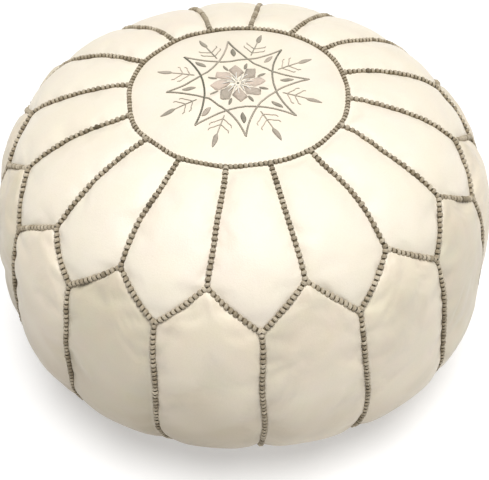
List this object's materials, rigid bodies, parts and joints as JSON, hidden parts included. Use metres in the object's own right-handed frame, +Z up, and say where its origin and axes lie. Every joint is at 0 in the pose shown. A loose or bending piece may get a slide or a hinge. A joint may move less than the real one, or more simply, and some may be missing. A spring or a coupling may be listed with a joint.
{
  "type": "moroccan leather pouf",
  "caption": "Round stuffed leather footstool with an embroidered medallion, pointed petals, stitched side panels and a zipped flat base.",
  "frame": {"origin": "middle of the flat base, on the floor", "axes": "+Z up along the pouf's axis, -Y to the front petal's tip, +X to the closed end of the zip"},
  "size_m": [0.5434, 0.5434, 0.3237],
  "materials": {
    "leather": "cream goat leather, satin, fine grain",
    "thread": "taupe cotton and silk thread, matte",
    "lining": "plain woven cotton",
    "batting": "loose cotton batting",
    "zip_tape": "herringbone woven tape",
    "zip_metal": "aged brass"
  },
  "bodies": {
    "cover": {"top_medallion": "leather", "petal_01": "leather", "petal_02": "leather", "petal_03": "leather", "petal_04": "leather", "petal_05": "leather", "petal_06": "leather", "petal_07": "leather", "petal_08": "leather", "petal_09": "leather", "petal_10": "leather", "petal_11": "leather", "petal_12": "leather", "petal_13": "leather", "petal_14": "leather", "petal_15": "leather", "petal_16": "leather", "side_panel_01": "leather", "side_panel_02": "leather", "side_panel_03": "leather", "side_panel_04": "leather", "side_panel_05": "leather", "side_panel_06": "leather", "side_panel_07": "leather", "side_panel_08": "leather", "side_panel_09": "leather", "side_panel_10": "leather", "side_panel_11": "leather", "side_panel_12": "leather", "side_panel_13": "leather", "side_panel_14": "leather", "side_panel_15": "leather", "side_panel_16": "leather", "base_panel_front": "leather", "base_panel_back": "leather", "top_seam_stitching": "thread", "side_seam_stitching": "thread", "base_seam_stitching": "thread", "medallion_embroidery": "thread", "inner_liner": "lining", "stuffing": "batting", "zip_tape_front": "zip_tape", "zip_tape_back": "zip_tape", "zip_teeth_front": "zip_metal", "zip_teeth_back": "zip_metal", "zip_top_stop_front": "zip_metal", "zip_top_stop_back": "zip_metal", "zip_bottom_stop": "zip_metal"},
    "zip_slider": {"zip_slider": "zip_metal"},
    "zip_pull": {"zip_pull": "zip_metal"}
  },
  "joints": [
    {"name": "zip_slide", "type": "slide", "parent": "cover", "child": "zip_slider", "axis": [-1, 0, 0], "range_m": [0, 0.32], "deforming": ["zip_teeth_front", "zip_teeth_back"]},
    {"name": "zip_pull_swing", "type": "hinge", "parent": "zip_slider", "child": "zip_pull", "pos_m": [0.164, 0, 0.0054], "axis": [0, -1, 0], "range_deg": [-10, 165]}
  ]
}
